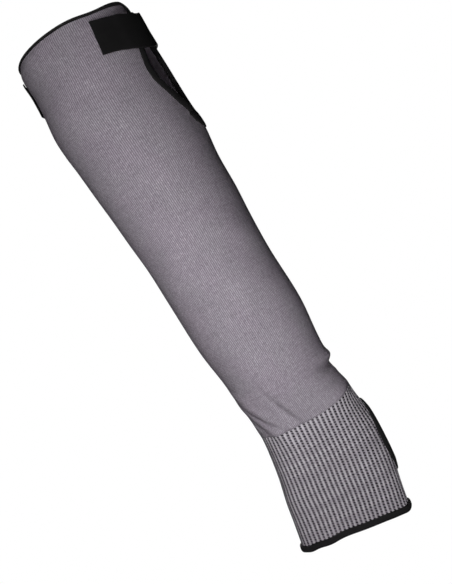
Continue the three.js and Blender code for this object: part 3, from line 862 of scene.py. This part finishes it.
thumb_edge = thumb_outline()
bm = flat_sheet((-0.5, BODY_LENGTH), (0.5, HEM_EDGE), RIBS * CUFF_COLUMNS_PER_RIB, CUFF_ROWS)
flat = places(bm)
flat[:, 0] = hand_angle(flat[:, 0], flat[:, 1])
put(bm, flat)
cut_opening(bm, thumb_edge)
flat = places(bm)
share = hand_share(flat[:, 0], flat[:, 1])
write_cloth_map(bm, lambda flat: np.stack([share, flat[:, 1]], axis=1))
put(bm, sleeve_point(flat[:, 0], flat[:, 1], rib_lift(share, flat[:, 1])) * MM)
bmesh.ops.remove_doubles(bm, verts=bm.verts, dist=MERGE)
cuff_area = sum(face.calc_area() for face in bm.faces)
hand_tube = piece_from(bm, "hand_tube", cuff_knit, inner_rib_painted_shade)
add_wall(hand_tube, RIB_THICKNESS - RIB_DEPTH, 1)
settle(hand_tube, "hand_cuff")
print("the cuff's cloth covers", round(cuff_area, 4), "square metres")

# %% [markdown]
# ## Tape over the cut edges
# A binding is a strip that is folded over an edge and sewn down. Its cross-section is drawn once, a
# full spin turns it into a closed ring, and the ring is then led along the edge: how far round
# the ring a point lies says where along the edge it goes. That keeps the tape's faces even
# without a list of them.

# %% The strip's cross-section
RING = 100.0
CORNER_STEP = 0.01
CORNER_PITCH = 0.9


def fold_profile(knit, thickness):
    """The strip's cross-section: (share of its width, millimetres past the edge, lift)."""
    top = TAPE_GAP + thickness
    under = -knit - TAPE_GAP
    over = [
        (1.0, 0, 0.1),
        (1.0, 0, 0.55 * top),
        (0.93, 0, 0.88 * top),
        (0.75, 0, top),
        (0.4, 0, 1.04 * top),
        (0.0, 0.0, top),
        (0.0, 0.7 * top, 0.72 * top),
        (0.0, 0.97 * top, 0.2 * top),
        (0.0, top, -knit / 2),
    ]
    back = [(share, past, -knit - lift) for share, past, lift in reversed(over[:-1])]
    lining = [
        (0.6, 0, under + 0.1),
        (0.0, 0.2, under + 0.1),
        (0.0, 0.2, TAPE_GAP - 0.1),
        (0.6, 0, TAPE_GAP - 0.1),
    ]
    return over + back + lining


print("the strip's cross-section has", len(fold_profile(1, 1)), "corners")

# %% A closed strip
def folded_tape(name, stations, widths, knit, thickness, pitch):
    """A strip along a closed row of stations, with the knit on the stations' left."""
    profile = fold_profile(knit, thickness)
    bm = bmesh.new()
    ring = [bm.verts.new((RING - CORNER_STEP * i, 0, 0)) for i in range(len(profile))]
    edges = [bm.edges.new((a, b)) for a, b in zip(ring, ring[1:] + ring[:1])]
    count = len(stations)
    bmesh.ops.spin(bm, geom=ring + edges, cent=(0, 0, 0), axis=(0, 0, 1), dvec=(0, 0, 0),
                   angle=2 * pi, steps=count, use_merge=True)
    spun = places(bm)
    turn = np.arctan2(spun[:, 1], spun[:, 0]) % (2 * pi)
    step = np.round(turn / (2 * pi) * count).astype(int) % count
    corner = np.round((RING - np.hypot(spun[:, 0], spun[:, 1])) / CORNER_STEP).astype(int)
    write_tape_map(bm, step, corner, count, profile, pitch)
    put(bm, tape_points(stations, widths, np.array(profile), step, corner) * MM)
    bmesh.ops.recalc_face_normals(bm, faces=bm.faces)
    return piece_from(bm, name, binding_tape)


def write_tape_map(bm, step, corner, count, profile, pitch):
    """Writes the UV map: millimetres along the strip, and across it."""
    layer = bm.loops.layers.uv.new("cloth")
    bm.verts.index_update()
    for face in bm.faces:
        steps = [step[loop.vert.index] for loop in face.loops]
        corners = [corner[loop.vert.index] for loop in face.loops]
        wraps, folds = max(steps) - min(steps) > 1, max(corners) - min(corners) > 1
        for loop, at, across in zip(face.loops, steps, corners):
            at = at + count if wraps and at == 0 else at
            across = across + len(profile) if folds and across == 0 else across
            loop[layer].uv = (at * pitch, across * CORNER_PITCH)


print("a strip's map counts", CORNER_PITCH, "mm from corner to corner")

# %% Leading a strip along an edge
def tape_points(stations, widths, profile, step, corner):
    angle, down = stations[:, 0], stations[:, 1]
    _, around, along, normal = face_at(angle, down)
    before = form_point(np.roll(angle, 1), np.roll(down, 1))
    after = form_point(np.roll(angle, -1), np.roll(down, -1))
    sideways = np.cross(after - before, normal)
    inward = sideways / np.linalg.norm(sideways, axis=1)[:, None]
    share, past, lift = profile[corner].T
    inset = (share * widths[step] - past)[:, None] * inward[step]
    a, b, c = (around * around).sum(1), (around * along).sum(1), (along * along).sum(1)
    p, q = (inset * around[step]).sum(1), (inset * along[step]).sum(1)
    size = (a * c - b * b)[step]
    turned = angle[step] + (p * c[step] - q * b[step]) / size
    lowered = down[step] + (q * a[step] - p * b[step]) / size
    return sleeve_point(turned, lowered, lift)


def spaced(line, pitch):
    """A closed row of (angle, down) again, with places about one pitch apart on the sleeve."""
    closed = np.concatenate([line, line[:1] + [[line_turns(line), 0]]])
    points = form_point(closed[:, 0], closed[:, 1])
    far = np.concatenate([[0], np.cumsum(np.linalg.norm(np.diff(points, axis=0), axis=1))])
    count = int(round(far[-1] / pitch))
    at = np.linspace(0, far[-1], count, endpoint=False)
    return np.stack([np.interp(at, far, closed[:, i]) for i in (0, 1)], axis=1), far[-1] / count


def line_turns(line):
    """How far the angle has gone round when the row closes: a full turn, or none."""
    return round(float(line[-1, 0] - line[0, 0]) / (2 * pi)) * 2 * pi


print("the row round the thumb opening closes with an angle of", line_turns(thumb_edge))

# %% The binding of the arm opening and the slit
RIM_TAPE_WIDTH, SLIT_TAPE_WIDTH, SLIT_TIP_TAPE_WIDTH = 1.3, 4.7, 13
CORNER_SHARE = 0.26
TAPE_PITCH = 1.3
# share of the slit's length above its tip, share of the tip's extra width
SLIT_TAPE = [(0.00, 1.0), (0.10, 0.3), (0.30, 0.0), (2.00, 0.0)]

slit_places = slit / (ARM_RADIUS, 1)
rim_angles = np.linspace(slit_places[-1, 0], slit_places[0, 0] - 2 * pi, 120)[1:-1]
rim_places = np.stack([rim_angles, 0 * rim_angles + RIM_EDGE], axis=1)
opening_line, opening_pitch = spaced(np.concatenate([slit_places, rim_places]), TAPE_PITCH)
down = opening_line[:, 1]
away = (RIM_EDGE + SLIT_LENGTH - down) / SLIT_LENGTH
slit_width = SLIT_TAPE_WIDTH + (SLIT_TIP_TAPE_WIDTH - SLIT_TAPE_WIDTH) * row_at(SLIT_TAPE, away)[0]
on_slit = soft_step(down - RIM_EDGE, -SLIT_CORNER / 2, SLIT_CORNER)
from_far = np.abs(turn_between(slit_places[-1, 0], opening_line[:, 0])) * ARM_RADIUS
from_near = np.abs(turn_between(slit_places[0, 0], opening_line[:, 0])) * ARM_RADIUS
corner_width = RIM_TAPE_WIDTH + (SLIT_TAPE_WIDTH - RIM_TAPE_WIDTH) * CORNER_SHARE
rim_width = corner_width + (RIM_TAPE_WIDTH - corner_width) * soft_step(
    np.minimum(from_far, from_near), SLIT_CORNER, 3 * SLIT_CORNER)
opening_widths = np.where(down > RIM_EDGE + NUDGE,
                          RIM_TAPE_WIDTH + (slit_width - RIM_TAPE_WIDTH) * on_slit, rim_width)
opening_tape = folded_tape("opening_tape", opening_line, opening_widths,
                           KNIT_THICKNESS, TAPE_THICKNESS, opening_pitch)
settle(opening_tape, "opening_binding")

# %% The bindings of the thumb opening and the hem
THUMB_TAPE_WIDTH, HEM_TAPE_WIDTH = 5.0, 3.8

thumb_line, thumb_pitch = spaced(thumb_edge, TAPE_PITCH)
thumb_tape = folded_tape("thumb_tape", thumb_line, np.full(len(thumb_line), THUMB_TAPE_WIDTH),
                         RIB_THICKNESS, TAPE_THICKNESS, thumb_pitch)
settle(thumb_tape, "thumb_binding")

hem_angles = np.linspace(0, 2 * pi, 241)[:-1]
hem_line, hem_pitch = spaced(np.stack([hem_angles, 0 * hem_angles + HEM_EDGE], axis=1), TAPE_PITCH)
hem_tape = folded_tape("hem_tape", hem_line, np.full(len(hem_line), HEM_TAPE_WIDTH),
                       RIB_THICKNESS, HEM_TAPE_THICKNESS, hem_pitch)
settle(hem_tape, "hem_binding")

# %% [markdown]
# ## The strap and the loop patch
# Both are flat bands. A grid is laid along the strap's line, Solidify gives it its thickness and
# Bevel softens its edges, which is quicker than modelling the edge and stays even all round.

# %% Bands round the arm
STRAP_SEWN_ANGLE, STRAP_FREE_ANGLE = radians(76), radians(-150)
PATCH_START_ANGLE, PATCH_END_ANGLE = radians(-60), radians(-186)
BAND_GAP, PATCH_THICKNESS = 0.6, 1.2
STRAP_SLANT = radians(3.5)
BAND_COLUMN, BAND_ROWS, SOFT_EDGE = 1.5, 20, 0.4


def strap_lift(angle):
    """The strap steps up on to the tape at the slit, and on to the patch at the back."""
    near_tape = SLIT_FAR_ANGLE + (SLIT_WIDTH + SLIT_TAPE_WIDTH) / ARM_RADIUS
    far_tape = SLIT_FAR_ANGLE - (SLIT_CORNER + SLIT_TAPE_WIDTH) / ARM_RADIUS
    step = radians(10)
    over_tape = soft_step(angle, far_tape - step, far_tape)
    over_tape *= 1 - soft_step(angle, near_tape, near_tape + step)
    over_patch = 1 - soft_step(angle, PATCH_START_ANGLE, PATCH_START_ANGLE + step)
    return BAND_GAP + RIM_EDGE * over_tape + (BAND_GAP + PATCH_THICKNESS) * over_patch


def band(name, start, end, thickness, lift_at, material):
    low, high = min(start, end) * ARM_RADIUS, max(start, end) * ARM_RADIUS
    columns = int((high - low) / BAND_COLUMN)
    bm = flat_sheet((low, -STRAP_WIDTH / 2), (high, STRAP_WIDTH / 2), columns, BAND_ROWS)
    write_cloth_map(bm, lambda flat: flat[:, :2])
    flat = places(bm)
    angle = flat[:, 0] / ARM_RADIUS + STRAP_SLANT * (flat[:, 1] / STRAP_WIDTH - 0.5)
    put(bm, sleeve_point(angle, strap_centre(angle) + flat[:, 1], lift_at(angle)) * MM)
    piece = piece_from(bm, name, material)
    add_wall(piece, thickness, 0)
    piece.modifiers["wall"].offset = 1
    soft = piece.modifiers.new("soft edge", "BEVEL")
    soft.width = SOFT_EDGE * MM
    soft.segments = 2
    soft.limit_method = "ANGLE"
    soft.harden_normals = True
    return piece


strap = band("strap", STRAP_SEWN_ANGLE, STRAP_FREE_ANGLE, STRAP_THICKNESS, strap_lift, strap_fabric)
settle(strap, "closure_strap")
patch = band("loop", PATCH_START_ANGLE, PATCH_END_ANGLE, PATCH_THICKNESS,
             lambda angle: 0 * angle + BAND_GAP, loop_fabric)
settle(patch, "loop_patch")
